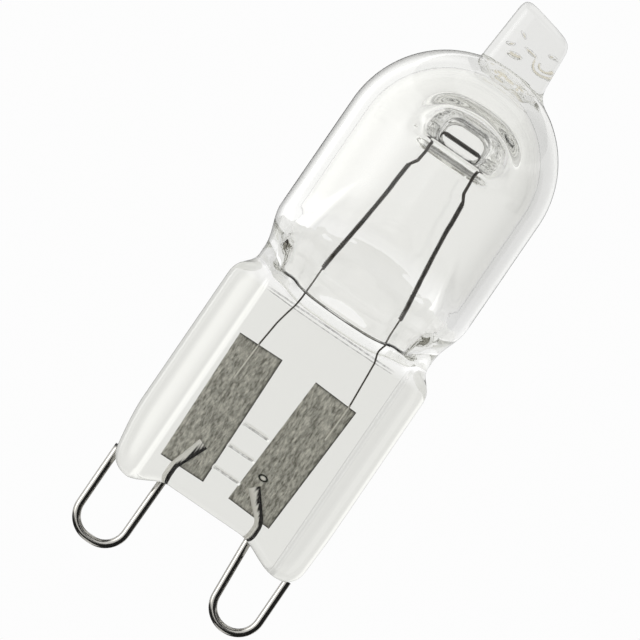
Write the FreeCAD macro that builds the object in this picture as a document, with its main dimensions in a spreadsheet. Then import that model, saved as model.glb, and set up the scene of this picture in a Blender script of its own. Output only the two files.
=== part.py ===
import FreeCAD, Part
import math
import os
import Sketcher
from FreeCAD import Placement, Rotation, Vector

# Clear quartz capsule lamp with two looped contact pins. Millimetres and degrees.
# Z is the lamp's axis with the pins pointing down, X runs along the flat pinch and -Y is the front.
# The origin is the middle of the pinch's lower edge, between the pins.

DRIVING = {
    # pressed pinch: a flat web between two thicker beads, with a foot below each bead
    "pinch_width": 13.3,
    "pinch_height": 12.5,
    "web_width": 9.5,
    "web_thickness": 3.0,
    "bead_thickness": 3.9,
    "bead_flank": 1.4,
    "bead_round": 0.45,
    "shoulder_rise": 0.65,
    "shoulder_round": 0.9,
    "foot_drop": 0.9,
    "foot_taper_height": 3.2,
    "foot_inset_left": 0.5,
    "foot_inset_right": 0.15,
    "foot_width_left": 1.55,
    "foot_width_right": 1.9,
    "foot_slope": 1.9,
    "foot_round": 1.2,
    # press marks between the foils
    "rib_length": 1.7,
    "rib_radius": 0.4,
    "rib_proud": 0.09,
    "rib_first": 2.35,
    "rib_pitch": 1.48,
    "rib_shift": -0.25,
    # bulb: a tube drawn in at the neck, domed above and pressed flat below by two sloping jaws
    "bulb_diameter": 12.8,
    "bulb_length": 11.5,
    "wall": 1.0,
    "neck_width": 11.6,
    "neck_rise": 1.8,
    "swell_rise": 4.3,
    "root_depth": 0.5,
    "jaw_angle": 47.0,
    "press_over": 0.25,
    # hollow inside the bulb, closing in a slit above the pinch
    "slit_rise": 1.0,
    "slit_thickness": 0.4,
    "slit_width": 8.7,
    "slit_angle": 51.0,
    # dimples pressed into the front and back walls by a square punch until they clamp the filament
    "dimple_rise": 1.65,
    "dimple_shift": 0.2,
    "dimple_width": 2.9,
    "dimple_height": 2.1,
    "dimple_round": 0.5,
    "dimple_wall": 0.75,
    "dimple_side_wall": 0.42,
    "dimple_flare_left": 1.7,
    "dimple_flare_right": 2.2,
    "dimple_flare_up": 1.6,
    "dimple_flare_down": 0.1,
    # exhaust stub on the crown, pinched flat, broken off on a slant, with a bubble left of its bore
    "stub_width": 4.1,
    "stub_top_width": 3.6,
    "stub_thickness": 2.6,
    "stub_length": 3.55,
    "stub_shift": 0.3,
    "stub_slant": 13.0,
    "stub_side_round": 0.9,
    "stub_round": 0.4,
    "bubble_width": 2.5,
    "bubble_height": 1.5,
    "bubble_thickness": 0.5,
    "bubble_rise": 1.3,
    # sealing foils
    "foil_width": 2.88,
    "foil_length": 8.25,
    "foil_thickness": 0.03,
    "foil_bottom": 1.22,
    "foil_left_centre": -2.64,
    "foil_right_centre": 2.22,
    "foil_left_tilt": -1.2,
    "foil_right_tilt": 2.67,
    # contact pins
    "pin_pitch": 9.0,
    "pin_wire": 0.5,
    "pin_loop_width": 3.0,
    "pin_loop_bend": 1.4,
    "pin_drop": 5.3,
    "pin_kink_height": 1.1,
    "pin_left_end": 0.3,
    "pin_right_end": -0.7,
    "pin_left_weld_angle": 17.5,
    "pin_right_weld_angle": 40.0,
    "pin_weld_length": 2.05,
    "weld_relief": 0.15,
    # inner leads
    "lead_wire": 0.16,
    "lead_weld_length": 2.35,
    "lead_left_offset": -0.2,
    "lead_right_offset": 0.95,
    "lead_stand": 1.65,
    "lead_insert": 0.8,
    # filament
    "coil_diameter": 0.3,
    "coil_clearance": 0.005,
    "filament_wire": 0.14,
    "clamp_clearance": 0.01,
    "leg_left_foot": -2.28,
    "leg_right_foot": 2.83,
    "leg_left_head": -1.67,
    "leg_right_head": 2.13,
    "leg_head_drop": 2.7,
    "bridge_drop": 0.3,
    "bridge_left": -0.9,
    "bridge_right": 1.25,
    "neck_left": -1.3,
    "neck_right": 1.75,
    "neck_kink": 0.5,
    "neck_overlap": 0.2,
}

DERIVED = {
    "pinch_half": "pinch_width / 2",
    "pinch_top": "pinch_height + shoulder_rise",
    "bead_half": "bead_thickness / 2",
    "web_half": "web_width / 2",
    "web_face": "web_thickness / 2",
    "bead_inner": "web_half + bead_flank",
    "foot_bottom": "-foot_drop",
    "foot_left_outer": "foot_inset_left - pinch_half",
    "foot_left_inner": "foot_left_outer + foot_width_left",
    "foot_left_start": "foot_left_inner + foot_slope",
    "foot_right_outer": "pinch_half - foot_inset_right",
    "foot_right_inner": "foot_right_outer - foot_width_right",
    "foot_right_start": "foot_right_inner - foot_slope",
    "bulb_radius": "bulb_diameter / 2",
    "bulb_root": "pinch_height - root_depth",
    "root_face": "web_face - root_depth * tan(jaw_angle)",
    "neck_radius": "neck_width / 2",
    "neck_height": "pinch_height + neck_rise",
    "swell_height": "pinch_height + swell_rise",
    "press_face": "bulb_radius + press_over",
    "press_top": "pinch_height + (press_face - web_face) / tan(jaw_angle)",
    "dome_centre": "pinch_height + bulb_length",
    "dome_top": "dome_centre + bulb_radius",
    "press_high": "dome_top + 1",
    "hollow_radius": "bulb_radius - wall",
    "hollow_top": "dome_centre + hollow_radius",
    "hollow_press_face": "hollow_radius + press_over",
    "slit_height": "pinch_height + slit_rise",
    "slit_half": "slit_width / 2",
    "slit_face": "slit_thickness / 2",
    "hollow_press_top": "slit_height + (hollow_press_face - slit_face) / tan(slit_angle)",
    "dimple_middle": "dome_centre + dimple_rise",
    "clamp_face": "coil_diameter / 2 + clamp_clearance",
    "pit_floor": "clamp_face + dimple_wall",
    "pit_far": "bulb_radius + 1",
    "pit_left": "dimple_shift - dimple_width / 2",
    "pit_right": "dimple_shift + dimple_width / 2",
    "pit_low": "dimple_middle - dimple_height / 2",
    "pit_high": "dimple_middle + dimple_height / 2",
    "pit_far_left": "pit_left - dimple_flare_left",
    "pit_far_right": "pit_right + dimple_flare_right",
    "pit_far_low": "pit_low - dimple_flare_down",
    "pit_far_high": "pit_high + dimple_flare_up",
    "boss_left": "pit_left - dimple_side_wall",
    "boss_right": "pit_right + dimple_side_wall",
    "boss_low": "pit_low - dimple_side_wall",
    "boss_high": "pit_high + dimple_side_wall",
    "boss_far_left": "pit_far_left - dimple_side_wall",
    "boss_far_right": "pit_far_right + dimple_side_wall",
    "boss_far_low": "pit_far_low - dimple_side_wall",
    "boss_far_high": "pit_far_high + dimple_side_wall",
    "stub_low": "dome_centre + hollow_radius + wall / 4",
    "stub_half": "stub_width / 2",
    "stub_top_half": "stub_top_width / 2",
    "stub_end": "dome_top + stub_length",
    "stub_left_end": "stub_end + stub_top_half * tan(stub_slant)",
    "stub_right_end": "stub_end - stub_top_half * tan(stub_slant)",
    "bubble_half": "bubble_width / 2",
    "bubble_middle": "dome_top + bubble_rise",
    "bubble_low": "bubble_middle - bubble_height / 2",
    "bubble_high": "bubble_middle + bubble_height / 2",
    "foil_front": "lead_wire * 0.35",
    "foil_middle": "foil_bottom + foil_length / 2",
    "pin_radius": "pin_wire / 2",
    "pin_inner": "pin_pitch / 2 - pin_loop_width / 2",
    "pin_outer": "pin_pitch / 2 + pin_loop_width / 2",
    "pin_low": "pin_radius - pin_drop",
    "lead_radius": "lead_wire / 2",
    "coil_radius": "coil_diameter / 2",
    "coil_bore_radius": "lead_radius + coil_clearance",
    "filament_radius": "filament_wire / 2",
    "leg_foot_height": "slit_height + lead_stand",
    "bridge_height": "dimple_middle - bridge_drop",
    "leg_head_height": "bridge_height - leg_head_drop",
}

doc = FreeCAD.newDocument("capsule_lamp")
sizes = doc.addObject("Spreadsheet::Sheet", "sizes")
for row, name in enumerate([*DRIVING, *DERIVED], 1):
    sizes.set(f"A{row}", name)
    sizes.set(f"B{row}", str(DRIVING[name]) if name in DRIVING else "=" + DERIVED[name])
    sizes.setAlias(f"B{row}", name)
doc.recompute()


def number(name):
    """The value of a sheet cell; a leading minus turns its sign, and 0 is the axis itself."""
    if name == "0":
        return 0.0
    sign = -1 if name.startswith("-") else 1
    return sign * float(sizes.get(name.lstrip("-")))


def rule(name):
    """The expression that reads a sheet cell; a leading minus turns its sign."""
    sign = "-" if name.startswith("-") else ""
    return sign + "sizes." + name.lstrip("-")


def bind(item, **rules):
    """Ties an object's properties to sheet cells; a double underscore stands for a dot."""
    for prop, text in rules.items():
        item.setExpression(prop.replace("__", "."), text)
    return item


def hold(sketch, run, point, **places):
    """Keeps a sketch point at the distance across (u) or up (v) from the origin that a cell gives."""
    for way, name in places.items():
        direction, axis = ("DistanceX", -2) if way == "u" else ("DistanceY", -1)
        if name == "0":
            sketch.addConstraint(Sketcher.Constraint("PointOnObject", run, point, axis))
        else:
            sketch.addConstraint(Sketcher.Constraint(direction, -1, 1, run, point, number(name)))
            sketch.setExpression(f"Constraints[{sketch.ConstraintCount - 1}]", rule(name))


def outline(body, name, plane, corners, crown=None):
    """A closed sketch through corners named by their cells. The run that starts at the corner numbered by
    crown is an arc about the upright axis, and the rest are straight."""
    sketch = body.newObject("Sketcher::SketchObject", name)
    support = next(item for item in body.Origin.OriginFeatures if item.Role == plane)
    sketch.AttachmentSupport = [(support, "")]
    sketch.MapMode = "FlatFace"
    points = [Vector(number(u), number(v), 0) for u, v in corners]
    for i, point in enumerate(points):
        after = points[(i + 1) % len(points)]
        if i == crown:
            circle = Part.Circle(Vector(after.x, point.y, 0), Vector(0, 0, 1), point.x - after.x)
            sketch.addGeometry(Part.ArcOfCircle(circle, 0, math.pi / 2))
        else:
            sketch.addGeometry(Part.LineSegment(point, after))
    for i, (u, v) in enumerate(corners):
        sketch.addConstraint(Sketcher.Constraint("Coincident", i, 2, (i + 1) % len(points), 1))
        hold(sketch, i, 1, u=u, v=v)
    if crown is not None:
        hold(sketch, crown, 3, u="0")
    return sketch


def feature(body, kind, name, sketch, **rules):
    """A PartDesign feature of a body, made from a sketch of that body."""
    item = body.newObject(kind, name)
    item.Profile = sketch
    return bind(item, **rules)


def spun(name, plane, corners, crown):
    """A body turned from a half outline about the sketch's upright axis."""
    body = doc.addObject("PartDesign::Body", name)
    sketch = outline(body, name + "_outline", plane, corners, crown)
    turn = feature(body, "PartDesign::Revolution", name + "_turn", sketch)
    turn.ReferenceAxis = (sketch, ["V_Axis"])
    turn.Angle = 360
    return body


def padded(name, plane, corners, length):
    """A body of one outline padded evenly to both sides."""
    body = doc.addObject("PartDesign::Body", name)
    sketch = outline(body, name + "_outline", plane, corners)
    feature(body, "PartDesign::Pad", name + "_pad", sketch, Length=length).Midplane = True
    return body


def cut_through(body, name, plane, corners):
    """A pocket of one outline, right through a body."""
    sketch = outline(body, name + "_outline", plane, corners)
    pocket = feature(body, "PartDesign::Pocket", name, sketch)
    pocket.Type = "ThroughAll"
    pocket.Midplane = True


def rounded(body, name, radius, chosen):
    """Rounds those edges of the body so far that a test picks out."""
    doc.recompute()
    base = body.Tip
    fillet = body.newObject("PartDesign::Fillet", name)
    fillet.Base = (base, [f"Edge{i}" for i, edge in enumerate(base.Shape.Edges, 1) if chosen(edge)])
    bind(fillet, Radius=rule(radius))


def middle(edge):
    return edge.valueAt((edge.FirstParameter + edge.LastParameter) / 2)


def near(a, b):
    return abs(a - b) < 1e-3


def corner_at(edge, *corners):
    """Whether an edge runs from front to back at one of the named corners of the front view."""
    point = middle(edge)
    runs_back = abs(edge.tangentAt(edge.FirstParameter).y) > 0.999
    return runs_back and any(near(point.x, number(x)) and near(point.z, number(z)) for x, z in corners)


def fused(name, *items):
    item = doc.addObject("Part::MultiFuse", name)
    item.Shapes = list(items)
    return item


def common(name, *items):
    item = doc.addObject("Part::MultiCommon", name)
    item.Shapes = list(items)
    return item


def less(name, base, tool):
    item = doc.addObject("Part::Cut", name)
    item.Base = base
    item.Tool = tool
    return item


def bent_path(points, bends):
    """Straight runs through the points, with a tangent arc of its own radius at each corner. A corner with
    no radius is a sharp kink."""
    edges = []
    start = points[0]
    for before, corner, after, bend in zip(points, points[1:], points[2:], bends):
        back = (before - corner).normalize()
        ahead = (after - corner).normalize()
        half_turn = (math.pi - back.getAngle(ahead)) / 2
        entry = corner + back * bend * math.tan(half_turn)
        leave = corner + ahead * bend * math.tan(half_turn)
        edges.append(Part.LineSegment(start, entry).toShape())
        if bend:
            crown = corner + (back + ahead).normalize() * (bend / math.cos(half_turn) - bend)
            edges.append(Part.Arc(entry, crown, leave).toShape())
        start = leave
    edges.append(Part.LineSegment(start, points[-1]).toShape())
    return Part.Wire(edges)


def wire(name, points, bends, radius):
    """Round wire swept along a bent path in the front view's plane."""
    route = [Vector(x, 0, z) for x, z in points]
    path = doc.addObject("Part::Feature", name + "_path")
    path.Shape = bent_path(route, bends)
    section = bind(doc.addObject("Part::Circle", name + "_section"), Radius=rule(radius))
    section.Placement = Placement(route[0], Rotation(Vector(0, 0, 1), route[1] - route[0]))
    sweep = doc.addObject("Part::Sweep", name)
    sweep.Sections = [section]
    sweep.Spine = (path, [f"Edge{i}" for i in range(1, len(path.Shape.Edges) + 1)])
    sweep.Transition = "Right corner"
    sweep.Solid = True
    return sweep


def along(start, end, length):
    """The point at a length from one point towards another, in the front view."""
    share = length / math.dist(start, end)
    return (start[0] + (end[0] - start[0]) * share, start[1] + (end[1] - start[1]) * share)


# Bulb: a tube with a drawn-in neck and a round crown, and the sloping jaws that pressed its lower end flat.
tube = spun(
    "tube", "XZ_Plane",
    [("0", "bulb_root"), ("neck_radius", "bulb_root"), ("neck_radius", "neck_height"),
     ("bulb_radius", "swell_height"), ("bulb_radius", "dome_centre"), ("0", "dome_top")],
    crown=4,
)
jaw_room = padded(
    "jaw_room", "YZ_Plane",
    [("root_face", "bulb_root"), ("press_face", "press_top"), ("press_face", "press_high"),
     ("-press_face", "press_high"), ("-press_face", "press_top"), ("-root_face", "bulb_root")],
    "2 * sizes.bulb_diameter",
)
bulb = common("bulb", tube, jaw_room)

# Pinch: the section of web and beads run upright, kept inside the front outline of shoulders and feet.
bead_slab = padded(
    "bead_slab", "XY_Plane",
    [("pinch_half", "bead_half"), ("bead_inner", "bead_half"), ("web_half", "web_face"),
     ("-web_half", "web_face"), ("-bead_inner", "bead_half"), ("-pinch_half", "bead_half"),
     ("-pinch_half", "-bead_half"), ("-bead_inner", "-bead_half"), ("-web_half", "-web_face"),
     ("web_half", "-web_face"), ("bead_inner", "-bead_half"), ("pinch_half", "-bead_half")],
    "2 * (sizes.pinch_top + 1)",
)
rounded(
    bead_slab, "bead_fillet", "bead_round",
    lambda edge: near(abs(middle(edge).x), number("pinch_half")) and near(middle(edge).z, 0),
)
pinch_outline = padded(
    "pinch_outline", "XZ_Plane",
    [("pinch_half", "pinch_top"), ("-pinch_half", "pinch_top"), ("-pinch_half", "foot_taper_height"),
     ("foot_left_outer", "foot_bottom"), ("foot_left_inner", "foot_bottom"), ("foot_left_start", "0"),
     ("foot_right_start", "0"), ("foot_right_inner", "foot_bottom"), ("foot_right_outer", "foot_bottom"),
     ("pinch_half", "foot_taper_height")],
    "2 * sizes.bead_thickness",
)
rounded(
    pinch_outline, "shoulder_fillet", "shoulder_round",
    lambda edge: corner_at(edge, ("pinch_half", "pinch_top"), ("-pinch_half", "pinch_top")),
)
rounded(
    pinch_outline, "foot_fillet", "foot_round",
    lambda edge: corner_at(
        edge, ("foot_left_outer", "foot_bottom"), ("foot_left_inner", "foot_bottom"),
        ("foot_left_start", "0"), ("foot_right_start", "0"), ("foot_right_inner", "foot_bottom"),
        ("foot_right_outer", "foot_bottom")),
)
pinch = common("pinch", bead_slab, pinch_outline)

# Press ribs: three shallow rounds that the jaw left between the foils, on the front of the web.
ribs = []
for index in range(3):
    rib = doc.addObject("Part::Cylinder", f"press_rib_{index + 1}")
    bind(
        rib, Radius="sizes.rib_radius", Height="sizes.rib_length",
        Placement="placement(vector(sizes.rib_shift - sizes.rib_length / 2;"
        " sizes.rib_radius - sizes.web_face - sizes.rib_proud;"
        f" sizes.rib_first + {index} * sizes.rib_pitch); rotation(vector(0; 1; 0); 90))",
    )
    ribs.append(rib)

# Exhaust stub: the tube the lamp was filled through, pinched flat on the crown and broken off on a slant.
stub = padded(
    "stub", "XZ_Plane",
    [("-stub_half", "stub_low"), ("stub_half", "stub_low"), ("stub_top_half", "stub_right_end"),
     ("-stub_top_half", "stub_left_end")],
    "sizes.stub_thickness",
)
rounded(
    stub, "stub_side_fillet", "stub_side_round",
    lambda edge: abs(edge.tangentAt(edge.FirstParameter).z) > 0.9,
)
slant = math.tan(math.radians(number("stub_slant")))
rounded(
    stub, "stub_end_fillet", "stub_round",
    lambda edge: near(middle(edge).z, number("stub_end") - slant * middle(edge).x),
)
bind(stub, Placement__Base__x="sizes.stub_shift")

# Dimples: square pits punched into the front and back walls, each standing out inside by its wall. The punch
# came from above, so a pit's lower wall runs nearly straight in and its other walls flare outwards.
dimples = {}
for kind, floor in (("pit", "pit_floor"), ("boss", "clamp_face")):
    back = padded(
        f"{kind}_back", "XY_Plane",
        [(f"{kind}_left", floor), (f"{kind}_right", floor), (f"{kind}_far_right", "pit_far"),
         (f"{kind}_far_left", "pit_far")],
        "2 * sizes.press_high",
    )
    cut_through(
        back, f"{kind}_roof", "YZ_Plane",
        [(floor, f"{kind}_high"), ("pit_far", f"{kind}_far_high"), ("pit_far", "press_high"),
         (floor, "press_high")],
    )
    cut_through(
        back, f"{kind}_shelf", "YZ_Plane",
        [(floor, f"{kind}_low"), (floor, "-press_high"), ("pit_far", "-press_high"),
         ("pit_far", f"{kind}_far_low")],
    )
    rounded(
        back, f"{kind}_fillet", "dimple_round",
        lambda edge: near(abs(edge.Vertexes[0].Y - edge.Vertexes[-1].Y), number("pit_far") - number(floor)),
    )
    front = doc.addObject("Part::Mirroring", f"{kind}_front")
    front.Source = back
    front.Normal = Vector(0, 1, 0)
    dimples[kind] = (back, front)

# Hollow: the bulb's form less its wall, closing in a slit above the pinch, and the bubble left in the stub.
hollow_tube = spun(
    "hollow_tube", "XZ_Plane",
    [("0", "slit_height"), ("slit_half", "slit_height"), ("slit_half", "neck_height"),
     ("hollow_radius", "swell_height"), ("hollow_radius", "dome_centre"), ("0", "hollow_top")],
    crown=4,
)
hollow_jaw_room = padded(
    "hollow_jaw_room", "YZ_Plane",
    [("slit_face", "slit_height"), ("hollow_press_face", "hollow_press_top"),
     ("hollow_press_face", "press_high"), ("-hollow_press_face", "press_high"),
     ("-hollow_press_face", "hollow_press_top"), ("-slit_face", "slit_height")],
    "2 * sizes.bulb_diameter",
)
hollow = common("hollow", hollow_tube, hollow_jaw_room)
bubble = padded(
    "bubble", "XZ_Plane",
    [("-bubble_half", "bubble_middle"), ("0", "bubble_low"), ("bubble_half", "bubble_middle"),
     ("0", "bubble_high")],
    "sizes.bubble_thickness",
)
bind(bubble, Placement__Base__x="sizes.stub_shift")

# Foils: thin strips of molybdenum sealed in the web, a little askew as they lie in the lamp.
foils = {}
for side in ("left", "right"):
    foil = doc.addObject("Part::Box", f"foil_{side}")
    bind(
        foil, Length="sizes.foil_width", Width="sizes.foil_thickness", Height="sizes.foil_length",
        Placement=f"placement(vector(sizes.foil_{side}_centre - sizes.foil_width / 2; sizes.foil_front;"
        f" sizes.foil_bottom); rotation(vector(0; 1; 0); sizes.foil_{side}_tilt);"
        " vector(sizes.foil_width / 2; 0; sizes.foil_length / 2))",
    )
    foils[side] = foil


def on_foil(side, across, up):
    """The place in the front view of a point measured from a foil's middle along its own edges."""
    tilt = math.radians(number(f"foil_{side}_tilt"))
    x = number(f"foil_{side}_centre") + across * math.cos(tilt) + up * math.sin(tilt)
    z = number("foil_middle") - across * math.sin(tilt) + up * math.cos(tilt)
    return (x, z)


# Foil room: the space from the foils' front face backwards, which flattens the wires that are welded on.
foil_room = bind(
    doc.addObject("Part::Box", "foil_room"),
    Length="sizes.pinch_width", Width="sizes.web_face", Height="sizes.foil_length + 2 * sizes.weld_relief",
    Placement="placement(vector(-sizes.pinch_half; sizes.foil_front; sizes.foil_bottom - sizes.weld_relief);"
    " rotation(vector(0; 1; 0); 0))",
)

# Contact pins: round wire looped back beside the foot, its other end kinked inwards and welded to the foil.
pins = {}
for side, sign in (("left", -1), ("right", 1)):
    outer = sign * number("pin_outer")
    inner = sign * number("pin_inner")
    low = number("pin_low")
    lean = math.radians(number(f"pin_{side}_weld_angle"))
    kink = (inner, number("pin_kink_height"))
    weld = (
        kink[0] - sign * number("pin_weld_length") * math.sin(lean),
        kink[1] + number("pin_weld_length") * math.cos(lean),
    )
    loop = number("pin_loop_bend")
    pin_wire = wire(
        f"pin_{side}_wire",
        [(outer, number(f"pin_{side}_end")), (outer, low), (inner, low), kink, weld],
        [loop, loop, 0],
        "pin_radius",
    )
    pins[side] = less(f"contact_pin_{side}", pin_wire, foil_room)

# Filament: two coiled legs, and a coiled bridge between the dimples, joined by short kinked lengths of wire.
legs = {}
for side in ("left", "right"):
    foot = (number(f"leg_{side}_foot"), number("leg_foot_height"))
    head = (number(f"leg_{side}_head"), number("leg_head_height"))
    legs[side] = (foot, head)

# Inner leads: thin wire from the foil up through the slit, its end pushed into the foot of the coiled leg.
leads = {}
sockets = []
for side in ("left", "right"):
    across = number(f"lead_{side}_offset")
    foil_end = number("foil_length") / 2
    foot, head = legs[side]
    tip = along(foot, head, number("lead_insert"))
    weld = on_foil(side, across, foil_end - number("lead_weld_length"))
    edge = on_foil(side, across, foil_end)
    lead_wire = wire(f"lead_{side}_wire", [weld, edge, foot, tip], [0, 0], "lead_radius")
    leads[side] = less(f"inner_lead_{side}", lead_wire, foil_room)
    sockets.append(wire(f"socket_{side}", [foot, tip], [], "coil_bore_radius"))

coils = []
for side, bridge_end in (("left", "bridge_left"), ("right", "bridge_right")):
    foot, head = legs[side]
    inside = along(head, foot, number("neck_overlap"))
    kink = (number(f"neck_{side}"), number("leg_head_height") + number("neck_kink"))
    top = (number(f"neck_{side}"), number("bridge_height"))
    end = (number(bridge_end), number("bridge_height"))
    coils.append(wire(f"leg_{side}", [foot, head], [], "coil_radius"))
    coils.append(wire(f"neck_{side}_wire", [inside, head, kink, top, end], [0, 0, 0], "filament_radius"))
coils.append(
    wire(
        "bridge",
        [(number("bridge_left"), number("bridge_height")), (number("bridge_right"), number("bridge_height"))],
        [],
        "coil_radius",
    )
)
filament = less("filament", fused("coil_and_wire", *coils), fused("lead_sockets", *sockets))

# Envelope: bulb, pinch, ribs and stub melted into one, hollowed, dimpled and closed round the metal.
glass = fused("glass", bulb, pinch, stub, *ribs)
dimpled = less("dimpled_glass", glass, fused("pits", *dimples["pit"]))
space = less("inner_space", hollow, fused("bosses", *dimples["boss"]))
shell = less("hollow_glass", dimpled, fused("space_and_bubble", space, bubble))
metal = fused("sealed_metal", *foils.values(), *pins.values(), *leads.values())
envelope = less("quartz_envelope", shell, metal)

sub_parts = [envelope, filament, *leads.values(), *foils.values(), *pins.values()]
for item in sub_parts:
    item.Label = item.Name
doc.recompute()
for item in doc.Objects:
    if {"Invalid", "Error"} & set(item.State):
        raise RuntimeError(f"{item.Name} failed to build: {item.State}")
for item in sub_parts:
    if item.Shape.isNull() or not item.Shape.isValid() or not item.Shape.Solids:
        raise RuntimeError(f"{item.Name} is not a valid solid")

os.makedirs("parts", exist_ok=True)
for item in sub_parts:
    item.Shape.exportStep(f"parts/{item.Label}.step")
    print(item.Label, len(item.Shape.Solids), "solid", round(item.Shape.Volume, 4), "mm3")
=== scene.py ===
import itertools
import math

import bpy
import numpy as np
from mathutils import Matrix, Vector


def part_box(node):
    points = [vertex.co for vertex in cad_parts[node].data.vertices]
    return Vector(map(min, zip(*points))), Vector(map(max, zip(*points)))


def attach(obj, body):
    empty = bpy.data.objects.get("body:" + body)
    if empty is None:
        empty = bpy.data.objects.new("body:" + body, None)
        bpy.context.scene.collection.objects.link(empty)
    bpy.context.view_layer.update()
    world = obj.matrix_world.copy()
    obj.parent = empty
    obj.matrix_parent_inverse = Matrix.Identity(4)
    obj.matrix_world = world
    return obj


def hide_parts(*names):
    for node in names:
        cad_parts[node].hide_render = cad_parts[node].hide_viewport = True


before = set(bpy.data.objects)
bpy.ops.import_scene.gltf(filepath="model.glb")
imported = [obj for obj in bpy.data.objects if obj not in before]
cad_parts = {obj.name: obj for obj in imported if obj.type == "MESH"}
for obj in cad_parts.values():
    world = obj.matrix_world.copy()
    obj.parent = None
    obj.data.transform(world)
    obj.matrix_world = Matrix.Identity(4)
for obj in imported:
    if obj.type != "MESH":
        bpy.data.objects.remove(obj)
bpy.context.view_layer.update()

# Contact pins. Each is round molybdenum wire, plated bright and bent into a loop that the holder's springs
# grip. Its inner end is kinked, flattened and welded to the foil before the quartz is pressed shut on it.
MM = 0.001


def linear(code):
    """An sRGB hex colour as linear red, green, blue and alpha."""
    shares = [int(code[i:i + 2], 16) / 255 for i in (1, 3, 5)]
    return [s / 12.92 if s <= 0.04045 else ((s + 0.055) / 1.055) ** 2.4 for s in shares] + [1.0]


def node(tree, kind, inputs=None, **settings):
    """Adds a node, gives it its settings, and fills or links its inputs by name or number."""
    made = tree.nodes.new(kind)
    for name, value in settings.items():
        setattr(made, name, value)
    for key, value in (inputs or {}).items():
        if isinstance(value, bpy.types.NodeSocket):
            tree.links.new(value, made.inputs[key])
        else:
            made.inputs[key].default_value = value
    return made


def blank_material(name):
    """A material with an empty node tree."""
    made = bpy.data.materials.new(name)
    made.use_nodes = True
    made.node_tree.nodes.clear()
    return made


def blank_tree(name, sockets):
    """A geometry tree with named inputs, its entry node and one geometry output."""
    tree = bpy.data.node_groups.new(name, "GeometryNodeTree")
    for label, kind in sockets:
        tree.interface.new_socket(label, in_out="INPUT", socket_type=kind)
    tree.interface.new_socket("Piece", in_out="OUTPUT", socket_type="NodeSocketGeometry")
    return tree, tree.nodes.new("NodeGroupInput").outputs


def made_by(tree, name, base, values):
    """Runs a geometry tree on a base mesh and keeps the result as an object with a plain mesh."""
    piece = bpy.data.objects.new(name, base)
    bpy.context.scene.collection.objects.link(piece)
    maker = piece.modifiers.new("maker", "NODES")
    maker.node_group = tree
    for item in tree.interface.items_tree:
        if item.in_out == "INPUT" and item.name in values:
            maker[item.identifier] = values[item.name]
    graph = bpy.context.evaluated_depsgraph_get()
    mesh = bpy.data.meshes.new_from_object(piece.evaluated_get(graph))
    piece.modifiers.remove(maker)
    piece.data = mesh
    return piece


def install(piece, cad_node):
    """Puts a finished piece in a CAD node's place."""
    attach(piece, "root")
    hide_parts(cad_node)


def wire_route(name, points, **marks):
    """A chain of straight runs through points of the front view, with numbers marked on its points."""
    mesh = bpy.data.meshes.new(name)
    runs = [(i, i + 1) for i in range(len(points) - 1)]
    mesh.from_pydata([(x * MM, 0, z * MM) for x, z in points], runs, [])
    for mark, values in marks.items():
        mesh.attributes.new(mark, "FLOAT", "POINT").data.foreach_set("value", values)
    return mesh


# Plated molybdenum wire, drawn through a die: bright, with faint streaks along its length. Where the quartz
# grips it, it is painted white as its lit side, with painted shade along its right side, and it is dark on
# the left pin's cut end. The streaks are drawn coarser than the die leaves them, so that they show.
plated_wire = blank_material("plated molybdenum wire")
tree = plated_wire.node_tree
place = node(tree, "ShaderNodeTexCoord").outputs["Object"]
die_marks = node(tree, "ShaderNodeMapping", {
    "Vector": place, "Scale": (1 / (0.12 * MM), 1 / (0.12 * MM), 1 / (2 * MM))})
streaks = node(tree, "ShaderNodeTexNoise", {"Vector": die_marks.outputs[0], "Scale": 1.0, "Detail": 3.0})
shade = node(tree, "ShaderNodeMix", {
    0: streaks.outputs[0], 6: linear("#a9a6a0"), 7: linear("#d6d4cf")}, data_type="RGBA")
split = node(tree, "ShaderNodeSeparateXYZ", {0: place})
sealed = node(tree, "ShaderNodeMapRange", {0: split.outputs["Z"], 1: -0.05 * MM, 2: 0.15 * MM})
# Painted shade: where the quartz grips it, the wire darkens on its +X side, read from its own normal and
# broken up by the streaks.
facing = node(tree, "ShaderNodeSeparateXYZ", {0: node(tree, "ShaderNodeTexCoord").outputs["Normal"]})
uneven = node(tree, "ShaderNodeMath", {
    0: streaks.outputs[0], 1: 0.9, 2: facing.outputs["X"]}, operation="MULTIPLY_ADD")
painted_shade_side = node(tree, "ShaderNodeMapRange", {0: uneven.outputs[0], 1: 0.4, 2: 0.62})
cut_end = node(tree, "ShaderNodeMapRange", {0: split.outputs["X"], 1: -5.7 * MM, 2: -5.8 * MM})
dark = node(tree, "ShaderNodeMath", {0: painted_shade_side.outputs[0], 1: cut_end.outputs[0]}, operation="MAXIMUM")
dark_where_sealed = node(tree, "ShaderNodeMath", {0: dark.outputs[0], 1: sealed.outputs[0]}, operation="MULTIPLY")
# Painted light: where the quartz grips it, the wire is painted white, as its lit side.
painted_lit_white = node(tree, "ShaderNodeMix", {
    0: sealed.outputs[0], 6: shade.outputs[2], 7: linear("#f4f2ec")}, data_type="RGBA")
skin_tone = node(tree, "ShaderNodeMix", {
    0: dark_where_sealed.outputs[0], 6: painted_lit_white.outputs[2], 7: linear("#1b1916")}, data_type="RGBA")
bare = node(tree, "ShaderNodeMapRange", {0: sealed.outputs[0], 3: 1.0, 4: 0.35})
gloss = node(tree, "ShaderNodeMapRange", {0: streaks.outputs[0], 3: 0.1, 4: 0.24})
metal = node(tree, "ShaderNodeBsdfPrincipled", {
    "Base Color": skin_tone.outputs[2], "Metallic": bare.outputs[0], "Roughness": gloss.outputs[0]})
node(tree, "ShaderNodeOutputMaterial", {"Surface": metal.outputs[0]})

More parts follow.
